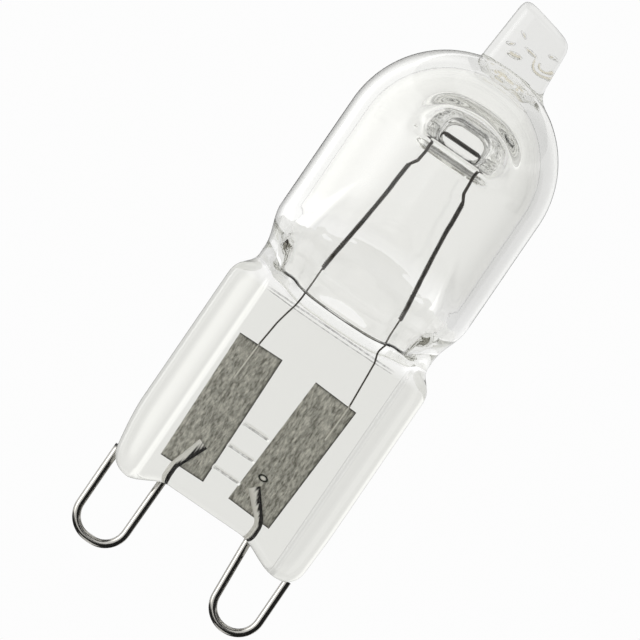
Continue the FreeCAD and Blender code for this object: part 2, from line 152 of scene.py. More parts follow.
# Bent wire: rounds each marked corner of a route, gives it a round section, and above the weld height
# flattens it against the weld face and spreads it.
bent_wire, given = blank_tree("bent wire", [
    ("Route", "NodeSocketGeometry"), ("Wire Radius", "NodeSocketFloat"), ("Weld Face", "NodeSocketFloat"),
    ("Weld Height", "NodeSocketFloat"), ("Weld Spread", "NodeSocketFloat"), ("Sides", "NodeSocketInt"),
    ("Material", "NodeSocketMaterial")])
tree = bent_wire
chain = node(tree, "GeometryNodeMeshToCurve", {"Mesh": given["Route"]})
bend = node(tree, "GeometryNodeInputNamedAttribute", {"Name": "bend"}, data_type="FLOAT")
rounded = node(tree, "GeometryNodeFilletCurve", {
    "Curve": chain.outputs[0], "Count": 14, "Radius": bend.outputs[0], "Limit Radius": True}, mode="POLY")
section = node(tree, "GeometryNodeCurvePrimitiveCircle", {
    "Resolution": given["Sides"], "Radius": given["Wire Radius"]})
here = node(tree, "GeometryNodeInputPosition").outputs[0]
split = node(tree, "ShaderNodeSeparateXYZ", {0: here})
past = node(tree, "ShaderNodeMath", {0: split.outputs["Z"], 1: given["Weld Height"]}, operation="SUBTRACT")
hammered = node(tree, "ShaderNodeMapRange", {0: past.outputs[0], 1: 0.2 * MM, 2: 1.2 * MM})
spread = node(tree, "ShaderNodeMapRange", {0: hammered.outputs[0], 3: 1.0, 4: given["Weld Spread"]})
sweep = node(tree, "GeometryNodeCurveToMesh", {
    "Curve": rounded.outputs[0], "Profile Curve": section.outputs[0], "Scale": spread.outputs[0],
    "Fill Caps": True})
above = node(tree, "FunctionNodeCompare", {
    0: split.outputs["Z"], 1: given["Weld Height"]}, operation="GREATER_THAN")
sunk = node(tree, "ShaderNodeMapRange", {0: hammered.outputs[0], 3: -0.3 * MM, 4: -0.15 * MM})
front = node(tree, "ShaderNodeMath", {0: split.outputs["Y"], 1: sunk.outputs[0]}, operation="MAXIMUM")
depth = node(tree, "ShaderNodeMath", {0: front.outputs[0], 1: given["Weld Face"]}, operation="MINIMUM")
pressed = node(tree, "ShaderNodeCombineXYZ", {
    "X": split.outputs["X"], "Y": depth.outputs[0], "Z": split.outputs["Z"]})
flat = node(tree, "GeometryNodeSetPosition", {
    "Geometry": sweep.outputs[0], "Selection": above.outputs[0], "Position": pressed.outputs[0]})
smooth = node(tree, "GeometryNodeSetShadeSmooth", {"Geometry": flat.outputs[0]})
whole = node(tree, "GeometryNodeRealizeInstances", {0: smooth.outputs[0]})
coated = node(tree, "GeometryNodeSetMaterial", {"Geometry": whole.outputs[0], "Material": given["Material"]})
node(tree, "NodeGroupOutput", {0: coated.outputs[0]})

pin_low, pin_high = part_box("contact_pin_left")
pin_radius = (pin_high.y - pin_low.y) / 2
loop_low = (pin_low.z + pin_radius) / MM
foil_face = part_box("foil_left")[0].y
kink_height = 1.1
loop_bend = 1.42
PINS = {
    "left": ([(-6.2, 0.28), (-6.2, loop_low), (-3.1, loop_low), (-3.02, kink_height), (-2.32, 3.05)],
             [0, loop_bend, loop_bend, 0.9, 0]),
    "right": ([(6.02, -0.72), (6.02, loop_low + 0.1), (3.22, loop_low + 0.1), (2.88, 0.0),
               (2.86, kink_height), (1.45, 2.65)],
              [0, loop_bend, loop_bend, 4.0, 0.9, 0]),
}
for side, (points, bends) in PINS.items():
    route = wire_route(f"{side} pin route", points, bend=[b * MM for b in bends])
    pin = made_by(bent_wire, f"{side}_contact_pin", route, {
        "Wire Radius": pin_radius, "Weld Face": foil_face, "Weld Height": kink_height * MM,
        "Weld Spread": 1.45, "Sides": 32, "Material": plated_wire})
    install(pin, f"contact_pin_{side}")

# Sealing foils. Each is a strip of etched molybdenum, thin enough for the quartz to grip it gas-tight,
# rolled to feather edges. It lies in the middle of the pinch with a wire welded on at each end.
foil_width = 2.88
foil_length = 8.25
FOILS = {"left": (-2.64, -1.2), "right": (2.22, 2.67)}

# Etched molybdenum: dull grey-brown, mottled where the quartz wets it and where it doesn't, with painted
# shade along its right edge and its ends, and with one bright weld bead in a burnt ring on the right foil.
etched_foil = blank_material("etched molybdenum foil")
tree = etched_foil.node_tree
place = node(tree, "ShaderNodeTexCoord").outputs["Object"]
mottle_map = node(tree, "ShaderNodeMapping", {
    "Vector": place, "Scale": (1 / (0.13 * MM), 1 / (0.13 * MM), 1 / (0.4 * MM))})
mottle = node(tree, "ShaderNodeTexNoise", {
    "Vector": mottle_map.outputs[0], "Scale": 1.0, "Detail": 6.0, "Roughness": 0.68})
patch = node(tree, "ShaderNodeValToRGB", {0: mottle.outputs[0]})
patch.color_ramp.elements[0].position = 0.36
patch.color_ramp.elements[0].color = linear("#7f7d74")
patch.color_ramp.elements[1].position = 0.66
patch.color_ramp.elements[1].color = linear("#e6e4da")
dull = node(tree, "ShaderNodeMapRange", {0: mottle.outputs[0], 3: 0.55, 4: 0.32})
pits = node(tree, "ShaderNodeBump", {"Height": mottle.outputs[0], "Strength": 0.5, "Distance": 0.05 * MM})
# Painted shade: darker along the right edge and both ends, where the foil strip marks them.
painted_rim_shade = node(tree, "ShaderNodeAttribute", attribute_name="painted_rim_shade")
tone = node(tree, "ShaderNodeMix", {
    0: painted_rim_shade.outputs["Fac"], 6: patch.outputs[0], 7: linear("#1d1b18")}, data_type="RGBA")
spot_x, spot_z, spot_wide, spot_tall = 1.58, 3.35, 0.36, 0.22
spot_map = node(tree, "ShaderNodeMapping", {
    "Vector": place, "Location": (-spot_x / spot_wide, 0, -spot_z / spot_tall),
    "Scale": (1 / (spot_wide * MM), 0, 1 / (spot_tall * MM))})
spot = node(tree, "ShaderNodeVectorMath", {0: spot_map.outputs[0]}, operation="LENGTH").outputs["Value"]
crater = node(tree, "ShaderNodeMapRange", {0: spot, 1: 1.0, 2: 0.8})
bead = node(tree, "ShaderNodeMapRange", {0: spot, 1: 0.6, 2: 0.35})
tone = node(tree, "ShaderNodeMix", {
    0: crater.outputs[0], 6: tone.outputs[2], 7: linear("#1d1b18")}, data_type="RGBA")
tone = node(tree, "ShaderNodeMix", {
    0: bead.outputs[0], 6: tone.outputs[2], 7: linear("#f4f2ea")}, data_type="RGBA")
metal = node(tree, "ShaderNodeBsdfPrincipled", {
    "Base Color": tone.outputs[2], "Metallic": 0.5, "Roughness": dull.outputs[0], "Normal": pits.outputs[0]})
node(tree, "ShaderNodeOutputMaterial", {"Surface": metal.outputs[0]})

# Foil strip: a grid stood upright, crinkled a little by the pressing, its edges rolled back, its back closed.
foil_strip, given = blank_tree("foil strip", [
    ("Nothing", "NodeSocketGeometry"), ("Width", "NodeSocketFloat"), ("Length", "NodeSocketFloat"),
    ("Thickness", "NodeSocketFloat"), ("Crinkle", "NodeSocketFloat"), ("Edge Roll", "NodeSocketFloat"),
    ("Centre", "NodeSocketVector"), ("Tilt", "NodeSocketVector"), ("Material", "NodeSocketMaterial")])
tree = foil_strip
grid = node(tree, "GeometryNodeMeshGrid", {
    "Size X": given["Width"], "Size Y": given["Length"], "Vertices X": 41, "Vertices Y": 100})
here = node(tree, "GeometryNodeInputPosition").outputs[0]
split = node(tree, "ShaderNodeSeparateXYZ", {0: here})
waves = node(tree, "ShaderNodeTexNoise", {"Vector": here, "Scale": 1 / (0.8 * MM), "Detail": 2.0})
crest = node(tree, "ShaderNodeMapRange", {0: waves.outputs[0], 1: 0.3, 2: 0.7, 3: 0.0, 4: given["Crinkle"]})
half = node(tree, "ShaderNodeMath", {0: given["Width"], 1: 2.0}, operation="DIVIDE")
share = node(tree, "ShaderNodeMath", {0: split.outputs["X"], 1: half.outputs[0]}, operation="DIVIDE")
edge = node(tree, "ShaderNodeMath", {0: share.outputs[0], 1: 12.0}, operation="POWER")
roll = node(tree, "ShaderNodeMath", {0: edge.outputs[0], 1: given["Edge Roll"]}, operation="MULTIPLY")
back = node(tree, "ShaderNodeMath", {0: crest.outputs[0], 1: roll.outputs[0]}, operation="ADD")
stood = node(tree, "ShaderNodeCombineXYZ", {
    "X": split.outputs["X"], "Y": back.outputs[0], "Z": split.outputs["Y"]})
# Painted shade mask: the right edge and both ends, stored for the foil's colour.
side_rim = node(tree, "ShaderNodeMapRange", {0: share.outputs[0], 1: 0.9, 2: 1.0})
tall = node(tree, "ShaderNodeMath", {0: given["Length"], 1: 2.0}, operation="DIVIDE")
climb = node(tree, "ShaderNodeMath", {0: split.outputs["Y"], 1: tall.outputs[0]}, operation="DIVIDE")
ends = node(tree, "ShaderNodeMath", {0: climb.outputs[0]}, operation="ABSOLUTE")
end_rim = node(tree, "ShaderNodeMapRange", {0: ends.outputs[0], 1: 0.97, 2: 1.0})
rim_shade_mask = node(tree, "ShaderNodeMath", {0: side_rim.outputs[0], 1: end_rim.outputs[0]}, operation="MAXIMUM")
marked = node(tree, "GeometryNodeStoreNamedAttribute", {
    "Geometry": grid.outputs[0], "Name": "painted_rim_shade", "Value": rim_shade_mask.outputs[0]}, data_type="FLOAT", domain="POINT")
sheet = node(tree, "GeometryNodeSetPosition", {"Geometry": marked.outputs[0], "Position": stood.outputs[0]})
behind = node(tree, "ShaderNodeCombineXYZ", {"Y": given["Thickness"]})
thick = node(tree, "GeometryNodeExtrudeMesh", {
    "Mesh": sheet.outputs[0], "Offset": behind.outputs[0], "Offset Scale": 1.0, "Individual": False})
front = node(tree, "GeometryNodeFlipFaces", {"Mesh": sheet.outputs[0]})
both = node(tree, "GeometryNodeJoinGeometry")
for part in (thick, front):
    tree.links.new(part.outputs[0], both.inputs[0])
closed = node(tree, "GeometryNodeMergeByDistance", {"Geometry": both.outputs[0], "Distance": 0.001 * MM})
laid = node(tree, "GeometryNodeTransform", {
    "Geometry": closed.outputs[0], "Translation": given["Centre"], "Rotation": given["Tilt"]})
whole = node(tree, "GeometryNodeRealizeInstances", {0: laid.outputs[0]})
coated = node(tree, "GeometryNodeSetMaterial", {"Geometry": whole.outputs[0], "Material": given["Material"]})
node(tree, "NodeGroupOutput", {0: coated.outputs[0]})

for side, (centre, tilt) in FOILS.items():
    low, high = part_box(f"foil_{side}")
    foil = made_by(foil_strip, f"{side}_sealing_foil", bpy.data.meshes.new(f"{side} foil start"), {
        "Width": foil_width * MM, "Length": foil_length * MM, "Thickness": high.y - low.y,
        "Crinkle": 0.05 * MM, "Edge Roll": 0.12 * MM, "Centre": (centre * MM, low.y, (low.z + high.z) / 2),
        "Tilt": (0, math.radians(tilt), 0), "Material": etched_foil})
    install(foil, f"foil_{side}")

# Inner leads. Thin drawn wire runs from each foil up through the slit into the bulb, where its end is
# pushed into the foot of the filament's coiled leg. The quartz holds it in the small waves it was pressed in.

# Drawn wire: dark and dull where it is free, and silvery where it lies on the foil.
drawn_wire = blank_material("drawn lead wire")
tree = drawn_wire.node_tree
place = node(tree, "ShaderNodeTexCoord").outputs["Object"]
scale = node(tree, "ShaderNodeTexNoise", {"Vector": place, "Scale": 1 / (0.3 * MM), "Detail": 4.0})
shade = node(tree, "ShaderNodeMix", {
    0: scale.outputs[0], 6: linear("#3a3733"), 7: linear("#6e6a64")}, data_type="RGBA")
height = node(tree, "ShaderNodeSeparateXYZ", {0: place}).outputs["Z"]
foil_top = 9.45
free = node(tree, "ShaderNodeMapRange", {0: height, 1: (foil_top - 0.15) * MM, 2: (foil_top + 0.15) * MM})
skin_tone = node(tree, "ShaderNodeMix", {
    0: free.outputs[0], 6: linear("#e4e2da"), 7: shade.outputs[2]}, data_type="RGBA")
metal = node(tree, "ShaderNodeBsdfPrincipled", {
    "Base Color": skin_tone.outputs[2], "Metallic": 1.0, "Roughness": 0.35})
node(tree, "ShaderNodeOutputMaterial", {"Surface": metal.outputs[0]})

lead_radius = 0.052
below_all = -1.0  # A lead stays in front of the foil's face over its whole length.
LEADS = {
    "left": [(-3.0, 7.1), (-2.9, 9.6), (-2.75, 11.1), (-2.45, 12.6), (-2.35, 13.6), (-2.28, 15.15),
             (-2.22, 15.9)],
    "right": [(3.25, 7.1), (3.33, 9.4), (3.2, 11.1), (3.1, 12.4), (2.86, 13.2), (2.9, 13.9), (2.83, 15.2),
              (2.77, 15.9)],
}
for side, points in LEADS.items():
    route = wire_route(f"{side} lead route", points, bend=[1.2 * MM] * len(points))
    lead = made_by(bent_wire, f"{side}_inner_lead", route, {
        "Wire Radius": lead_radius * MM, "Weld Face": foil_face, "Weld Height": below_all, "Weld Spread": 1.0,
        "Sides": 12, "Material": drawn_wire})
    install(lead, f"inner_lead_{side}")

# Filament. One tungsten wire, wound on a mandrel into a close coil for both legs and for the short bridge
# that the two dimples clamp, and left straight in the two kinked necks between them.
coil_radius = 0.15
filament_radius = 0.045
coil_pitch = 0.105
steps_a_turn = 18
LEG_LEFT = [(-2.28, 15.15), (-1.67, 22.65)]
NECK_LEFT = [(-1.62, 22.8), (-1.36, 23.2), (-1.28, 23.9), (-1.35, 24.75), (-1.2, 25.3)]
BRIDGE = [(-0.9, 25.35), (1.25, 25.35)]
NECK_RIGHT = [(1.6, 25.28), (1.74, 24.6), (1.86, 23.1), (2.08, 22.7)]
LEG_RIGHT = [(2.13, 22.5), (2.83, 15.2)]

# Wound tungsten: dark grey and dull from its first burn.
tungsten = blank_material("wound tungsten")
tree = tungsten.node_tree
place = node(tree, "ShaderNodeTexCoord").outputs["Object"]
burn = node(tree, "ShaderNodeTexNoise", {"Vector": place, "Scale": 1 / (0.4 * MM), "Detail": 4.0})
shade = node(tree, "ShaderNodeMix", {
    0: burn.outputs[0], 6: linear("#2f2c29"), 7: linear("#5b5650")}, data_type="RGBA")
metal = node(tree, "ShaderNodeBsdfPrincipled", {
    "Base Color": shade.outputs[2], "Metallic": 1.0, "Roughness": 0.42})
node(tree, "ShaderNodeOutputMaterial", {"Surface": metal.outputs[0]})

# Wound wire: follows a route and circles round it by the pitch wherever the route is marked as coiled.
# Where it isn't, the wire is stouter by the neck share.
wound_wire, given = blank_tree("wound wire", [
    ("Route", "NodeSocketGeometry"), ("Wire Radius", "NodeSocketFloat"), ("Coil Radius", "NodeSocketFloat"),
    ("Neck Share", "NodeSocketFloat"), ("Pitch", "NodeSocketFloat"), ("Step", "NodeSocketFloat"),
    ("Material", "NodeSocketMaterial")])
tree = wound_wire
chain = node(tree, "GeometryNodeMeshToCurve", {"Mesh": given["Route"]})
rounded = node(tree, "GeometryNodeFilletCurve", {
    "Curve": chain.outputs[0], "Count": 6, "Radius": 0.3 * MM, "Limit Radius": True}, mode="POLY")
fine = node(tree, "GeometryNodeResampleCurve", {
    "Curve": rounded.outputs[0], "Length": given["Step"]}, mode="LENGTH")
coiled = node(tree, "GeometryNodeInputNamedAttribute", {"Name": "coiled"}, data_type="FLOAT")
distance = node(tree, "GeometryNodeSplineParameter").outputs["Length"]
turns = node(tree, "ShaderNodeMath", {0: distance, 1: given["Pitch"]}, operation="DIVIDE")
angle = node(tree, "ShaderNodeMath", {0: turns.outputs[0], 1: math.tau}, operation="MULTIPLY")
reach = node(tree, "ShaderNodeMath", {0: given["Coil Radius"], 1: given["Wire Radius"]}, operation="SUBTRACT")
swing = node(tree, "ShaderNodeMath", {0: reach.outputs[0], 1: coiled.outputs[0]}, operation="MULTIPLY")
sideways = node(tree, "GeometryNodeInputNormal").outputs[0]
onward = node(tree, "GeometryNodeInputTangent").outputs[0]
upward = node(tree, "ShaderNodeVectorMath", {0: onward, 1: sideways}, operation="CROSS_PRODUCT")
arms = []
for turn, arm in (("COSINE", sideways), ("SINE", upward.outputs[0])):
    part = node(tree, "ShaderNodeMath", {0: angle.outputs[0]}, operation=turn)
    length = node(tree, "ShaderNodeMath", {0: part.outputs[0], 1: swing.outputs[0]}, operation="MULTIPLY")
    arms.append(node(tree, "ShaderNodeVectorMath", {0: arm, "Scale": length.outputs[0]}, operation="SCALE"))
offset = node(tree, "ShaderNodeVectorMath", {0: arms[0].outputs[0], 1: arms[1].outputs[0]}, operation="ADD")
helix = node(tree, "GeometryNodeSetPosition", {"Geometry": fine.outputs[0], "Offset": offset.outputs[0]})
stout = node(tree, "ShaderNodeMapRange", {0: coiled.outputs[0], 3: given["Neck Share"], 4: 1.0})
section = node(tree, "GeometryNodeCurvePrimitiveCircle", {"Resolution": 8, "Radius": given["Wire Radius"]})
sweep = node(tree, "GeometryNodeCurveToMesh", {
    "Curve": helix.outputs[0], "Profile Curve": section.outputs[0], "Scale": stout.outputs[0],
    "Fill Caps": True})
smooth = node(tree, "GeometryNodeSetShadeSmooth", {"Geometry": sweep.outputs[0]})
whole = node(tree, "GeometryNodeRealizeInstances", {0: smooth.outputs[0]})
coated = node(tree, "GeometryNodeSetMaterial", {"Geometry": whole.outputs[0], "Material": given["Material"]})
node(tree, "NodeGroupOutput", {0: coated.outputs[0]})

stretches = [(LEG_LEFT, 1.0), (NECK_LEFT, 0.0), (BRIDGE, 1.0), (NECK_RIGHT, 0.0), (LEG_RIGHT, 1.0)]
points = [point for stretch, _ in stretches for point in stretch]
coils = [share for stretch, share in stretches for _ in stretch]
filament = made_by(wound_wire, "tungsten_filament", wire_route("filament route", points, coiled=coils), {
    "Wire Radius": filament_radius * MM, "Coil Radius": coil_radius * MM, "Neck Share": 2.2,
    "Pitch": coil_pitch * MM, "Step": coil_pitch * MM / steps_a_turn, "Material": tungsten})
install(filament, "filament")

# Quartz envelope. A drawn tube of fused quartz, domed in the flame round its exhaust stub, pressed flat on
# the foils between two jaws while soft, and dimpled from front and back until the filament is clamped.
glass_low, glass_high = (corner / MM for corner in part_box("quartz_envelope"))
glass_step, bubble_step = 0.19, 0.07


def melted(a, b, radius):
    """Two bodies run together, their seam filled to about the radius."""
    share = np.clip(0.5 + 0.5 * (b - a) / radius, 0, 1)
    return b + (a - b) * share - radius * share * (1 - share)


def kept(a, b, radius):
    """What lies in both bodies, the edge between them softened to about the radius."""
    return -melted(-a, -b, radius)


def eased(value, start, end):
    """Runs from 0 to 1 between two values, level at both ends."""
    share = np.clip((value - start) / (end - start), 0, 1)
    return share * share * (3 - 2 * share)


# The tube's radius outside and in, from the drawn-in neck up to the round bulb and its dome.
bulb_radius = glass_high.y
wall = 1.0
dome_centre = 24.0
neck_height, swell_height = 14.3, 16.8
neck_radius = 5.8
root_height = 12.0
slit_height = 13.8
slit_half = 4.35


def tube(x, y, z, low_radius, radius):
    """Signed distance to the tube, drawn in to a smaller radius at its neck and domed at its top."""
    spread = np.hypot(x, y)
    girth = low_radius + (radius - low_radius) * eased(z, neck_height, swell_height)
    return np.where(z < dome_centre, spread - girth, np.hypot(spread, z - dome_centre) - radius)


# Two sloping jaws flatten the tube's foot to the pinch, and the hollow inside it closes to a slit.
jaw_slope, jaw_foot = math.radians(47), 12.75
slit_slope, slit_face = math.radians(51), 0.2


def press_bow(x):
    """How far the jaws' lower edge, and the slit with it, rises from the middle of the lamp to its sides."""
    return 0.3 * (np.minimum(np.abs(x), slit_half) / slit_half) ** 2


def wedge(y, z, face, foot, slope):
    """Signed distance to the wedge that opens upwards by a slope from a half depth at its foot."""
    return (np.abs(y) - face - (z - foot) * math.tan(slope)) * math.cos(slope)


# The pressed pinch: a web over the foils that thickens to a bead along each side, each with a foot below.
pinch_half = glass_high.x
web_face, bead_face = 1.5, 1.95
bead_start, bead_crest, bead_step = 4.8, 6.7, 0.17
pinch_top = 13.15
foot_drop = -glass_low.z
taper_height = 3.2
RIBS = (2.35, 3.83, 5.31)
rib_x, rib_half, rib_radius = -0.25, 0.72, 0.12


def pinch(x, y, z):
    """Signed distance to the pinch."""
    step = np.where(x < 0, 4.45, 4.9)
    face = web_face + bead_step * eased(np.abs(x), step, step + 0.3)
    face = face + (bead_face - web_face - bead_step) * eased(np.abs(x), bead_start, bead_crest)
    section = (np.abs(y) - face) * 0.9
    taper = np.clip((taper_height - z) / (taper_height + foot_drop), 0, 1)
    width = pinch_half - np.where(x < 0, 0.6, 0.15) * taper ** 1.5
    foot = foot_drop * np.where(x < 0, eased(-x, 2.6, 4.95), eased(x, 2.2, 5.15))
    outline = kept(np.abs(x) - width, kept(z - pinch_top, -(z + foot), 0.3), 1.3)
    return kept(section, outline, 0.6)


def ribs(x, y, z):
    """Signed distance to the three low ribs that the jaw left on the front of the web."""
    along = np.maximum(np.abs(x - rib_x) - rib_half, 0)
    nearest = np.min([np.abs(z - height) for height in RIBS], axis=0)
    return np.sqrt(along ** 2 + nearest ** 2 + (y + web_face) ** 2) - rib_radius


# The exhaust stub, pinched flat in the flame and broken off on a slant, with bubbles where its bore closed.
stub_x = 0.3
stub_half, stub_top_half = 2.05, 1.8
stub_face = 1.3
stub_root, stub_low, stub_taper, stub_end = 29.4, 30.4, 3.5, 33.95
slant = math.radians(13)
BUBBLES = [(-0.2, 31.2, 0.5, 0.2, 0.15), (0.5, 31.85, 0.5, 0.13, -0.15), (-0.7, 31.65, 0.25, 0.12, 0.6),
           (-0.4, 32.45, 0.28, 0.12, -0.5), (1.5, 32.3, 0.2, 0.13, 0.3)]
SWIRLS = [(1.45, 31.6, 0.55, 0.09), (1.5, 31.6, 0.26, 0.08)]


def stub(x, y, z):
    """Signed distance to the exhaust stub."""
    half = stub_half + (stub_top_half - stub_half) * np.clip((z - stub_low) / stub_taper, 0, 1)
    end = (x - stub_x) * math.sin(slant) + (z - stub_end) * math.cos(slant)
    section = kept(np.abs(x - stub_x) - half, np.abs(y) - stub_face, 1.1)
    return np.maximum(kept(section, end, 0.7), stub_root - z)


def bubbles(p):
    """Zero on the surface of the bubbles in the stub, and less than zero inside them."""
    nearest = np.full(p.shape[:-1], 9.0)
    for x, z, long, short, turn in BUBBLES:
        across, rise = p[..., 0] - x, p[..., 2] - z
        u = (across * math.cos(turn) + rise * math.sin(turn)) / long
        v = (rise * math.cos(turn) - across * math.sin(turn)) / short
        w = p[..., 1] / 0.45
        nearest = melted(nearest, (np.sqrt(u * u + v * v + w * w) - 1) * min(long, short), 0.12)
    for x, z, radius, tube_radius in SWIRLS:
        across, rise, deep = p[..., 0] - x, p[..., 2] - z, p[..., 1] / 2
        below = np.hypot(np.hypot(across, rise) - radius, deep)
        beside = np.sqrt((np.abs(across) - radius) ** 2 + rise ** 2 + deep ** 2)
        nearest = np.minimum(nearest, np.where(rise < 0, below, beside) - tube_radius)
    return nearest


# The dimples: a square punch pressed in from front and back leaves a flat floor on the filament's bridge. It
# came in from above, so the pit's lower wall runs straight in and the others flare out to the bulb.
PIT_LOW, PIT_HIGH = (-1.25, 24.6), (1.65, 26.45)
FLARE_LOW, FLARE_HIGH = (1.5, 0.1), (1.9, 0.5)
clamp_face = 0.16
dimple_wall, side_wall, lower_wall = 0.75, 0.42, 0.22
pit_middle = 25.5


def pit(x, y, z, grown):
    """Signed distances to the side walls, the upper and lower walls and the floor of the punches' space, or
    to those of the glass round it where it is fully grown."""
    floor = clamp_face + dimple_wall * (1 - grown)
    deep = np.abs(y)
    share = np.clip((deep - floor) / (bulb_radius - floor), 0, 1.2)
    walls = []
    arch = 0.15 * (x - 0.2) ** 2 * share
    for place, low, high, flare_low, flare_high in zip((x, z), PIT_LOW, PIT_HIGH, FLARE_LOW, FLARE_HIGH):
        under = low - (lower_wall if place is z else side_wall) * grown - flare_low * share ** 1.6 - place
        over = place - high - side_wall * grown - flare_high * share ** 1.6 + arch * (place is z)
        walls.append(np.maximum(under, over) * 0.93)
    return walls[0], walls[1], floor - deep


def dimple(x, y, z, grown):
    """Signed distance to the space of the punches, or to the glass round it where it is fully grown."""
    sides, ends, floor = pit(x, y, z, grown)
    return kept(kept(sides, ends, 0.8), floor, 0.25 + 0.25 * grown)


def crease(points, grown):
    """How much painted shade darkens each point: strong above and below a dimple's floor, faint beside it."""
    sides, ends, floor = pit(*points.T, grown)
    wall = np.maximum(sides, ends)
    near = 1 - eased(np.abs(wall - floor), 0.05, 0.22)
    on_edge = np.abs(np.maximum(wall, floor)) < 0.35
    above_or_below = np.where(points[:, 2] > pit_middle, 0.5 + 0.4 * grown, 0.9)
    return near * on_edge * np.where(ends > sides, above_or_below, 0.25)


def crown(x, y, z):
    """Signed distance to the dome with the stub on it, joined sharply on the left, smoothly on the right."""
    seam = 0.1 + 0.6 * eased(x, 0.8, 2.0) * (1 - eased(np.abs(y), 0.3, 1.0))
    return melted(np.hypot(np.hypot(x, y), z - dome_centre) - bulb_radius, stub(x, y, z), seam)


def outer_glass(p):
    """Zero on the envelope's outer surface, and less than zero inside it."""
    x, y, z = p[..., 0], p[..., 1], p[..., 2]
    low = jaw_foot + 0.5 * press_bow(x)
    blank = kept(
        tube(x, y, z, neck_radius, bulb_radius), wedge(y, z, web_face, low, jaw_slope),
        3.0 - 1.2 * eased(np.abs(x), 3.1, 4.8))
    blank = np.maximum(blank, root_height - z)
    body = melted(blank, melted(pinch(x, y, z), ribs(x, y, z), 0.05), 0.7)
    body = np.where(z < dome_centre, body, crown(x, y, z))
    return kept(body, -dimple(x, y, z, 0.0), 0.7)


def inner_glass(p):
    """Zero on the surface of the hollow, and less than zero inside the hollow."""
    x, y, z = p[..., 0], p[..., 1], p[..., 2]
    low = slit_height + press_bow(x)
    room = kept(
        tube(x, y, z, slit_half, bulb_radius - wall), wedge(y, z, slit_face, low, slit_slope),
        2.4 - 1.8 * eased(np.abs(x), 3.0, 4.3))
    room = kept(room, low - z, 0.15)
    return kept(room, -dimple(x, y, z, 1.0), 0.5)


def slope_of(field, points):
    """How a field changes along X, Y and Z at each point."""
    reach = 0.004
    steps = np.eye(3) * reach
    return np.stack([field(points + step) - field(points - step) for step in steps], -1) / (2 * reach)


def ticks(low, high, step, *finer):
    """Evenly spaced grid lines, closer together inside the finer stretches."""
    lines = np.arange(low, high + step, step)
    for start, end, close in finer:
        clear = (lines < start - close / 2) | (lines > end + close / 2)
        lines = np.concatenate([lines[clear], np.arange(start, end, close)])
    return np.sort(lines)


def skin(field, *axes):
    """A closed quad mesh on the surface where a field is zero, with its normals: one point in each cell that
    the surface crosses, a quad round each crossed edge, and the points evened out along the surface."""
    inside = field(np.stack(np.meshgrid(*axes, indexing="ij"), -1)) < 0
    size = np.array(inside.shape) - 1
    shifts = itertools.product((0, 1), repeat=3)
    corners = [inside[a:a + size[0], b:b + size[1], c:c + size[2]] for a, b, c in shifts]
    filled = np.sum(corners, axis=0)
    crossed = (filled > 0) & (filled < 8)
    number = np.full(size, -1)
    number[crossed] = np.arange(crossed.sum())
    cells = np.argwhere(crossed)
    points = np.stack([((axis[:-1] + axis[1:]) / 2)[cells[:, i]] for i, axis in enumerate(axes)], 1)
    quads = []
    for axis in range(3):
        u, v = (axis + 1) % 3, (axis + 2) % 3
        here = np.take(inside, range(size[axis]), axis)
        ahead = np.take(inside, range(1, size[axis] + 1), axis)
        edges = np.argwhere(here != ahead)
        ring = []
        for du, dv in ((1, 1), (0, 1), (0, 0), (1, 0)):
            cell = edges.copy()
            cell[:, u] -= du
            cell[:, v] -= dv
            ring.append(number[tuple(cell.T)])
        quad = np.stack(ring, 1)
        leaving = here[tuple(edges.T)]
        quads.append(np.where(leaving[:, None], quad, quad[:, ::-1]))
    quads = np.concatenate(quads)
    pairs = np.concatenate([quads[:, [i, (i + 1) % 4]] for i in range(4)])
    for relaxing in (0, 0, 0.5, 0.5, 0.5, 0.5, 0.5, 0, 0):
        if relaxing:
            total = np.zeros_like(points)
            count = np.zeros(len(points))
            np.add.at(total, pairs[:, 0], points[pairs[:, 1]])
            np.add.at(count, pairs[:, 0], 1)
            points = points + relaxing * (total / count[:, None] - points)
        slope = slope_of(field, points)
        move = field(points)[:, None] * slope / np.sum(slope * slope, axis=1, keepdims=True)
        points = points - np.clip(move, -0.15, 0.15)
    slope = slope_of(field, points)
    return points, quads, slope / np.linalg.norm(slope, axis=1, keepdims=True)


pit_across = (PIT_LOW[0] - 1.2, PIT_HIGH[0] + 1.2, 0.12)
pit_upright = (PIT_LOW[1] - 0.8, PIT_HIGH[1] + 1.2, 0.12)
at_ribs = [(z - 0.2, z + 0.2, 0.05) for z in RIBS]
room = 0.4
outside = skin(
    outer_glass, ticks(glass_low.x - room, glass_high.x + room, glass_step, pit_across),
    ticks(glass_low.y - room, glass_high.y + room, glass_step),
    ticks(glass_low.z - room, glass_high.z + room, glass_step, pit_upright, *at_ribs))
hollow = skin(
    inner_glass, ticks(-6, 6, glass_step, pit_across), ticks(-6, 6, glass_step),
    ticks(slit_height - 0.5, 30.5, glass_step, (slit_height - 0.2, slit_height + 0.5, 0.1), pit_upright))
blisters = skin(bubbles, *(ticks(a, b, bubble_step) for a, b in ((-1.5, 2.5), (-0.6, 0.6), (30.5, 33.0))))
points, quads, normals = [], [], []
for (shell_points, shell_quads, shell_normals), facing in ((outside, 1), (hollow, -1), (blisters, -1)):
    quads += (shell_quads[:, ::facing] + sum(map(len, points))).tolist()
    points.append(shell_points)
    normals.append(shell_normals * facing)
mesh = bpy.data.meshes.new("quartz envelope")
mesh.from_pydata(np.concatenate(points) * MM, [], quads)
mesh.shade_smooth()
mesh.normals_split_custom_set_from_vertices(np.concatenate(normals))
on_bubbles = np.repeat([0.0, 0.0, 1.0], [len(shell) for shell in points])
creased = np.concatenate([crease(points[0], 0.0), crease(points[1], 1.0), np.zeros(len(points[2]))])
mesh.attributes.new("bubble_stain_and_shade", "FLOAT", "POINT").data.foreach_set("value", on_bubbles)
mesh.attributes.new("crease", "FLOAT", "POINT").data.foreach_set("value", creased)
envelope = bpy.data.objects.new("fused_quartz_envelope", mesh)
bpy.context.scene.collection.objects.link(envelope)
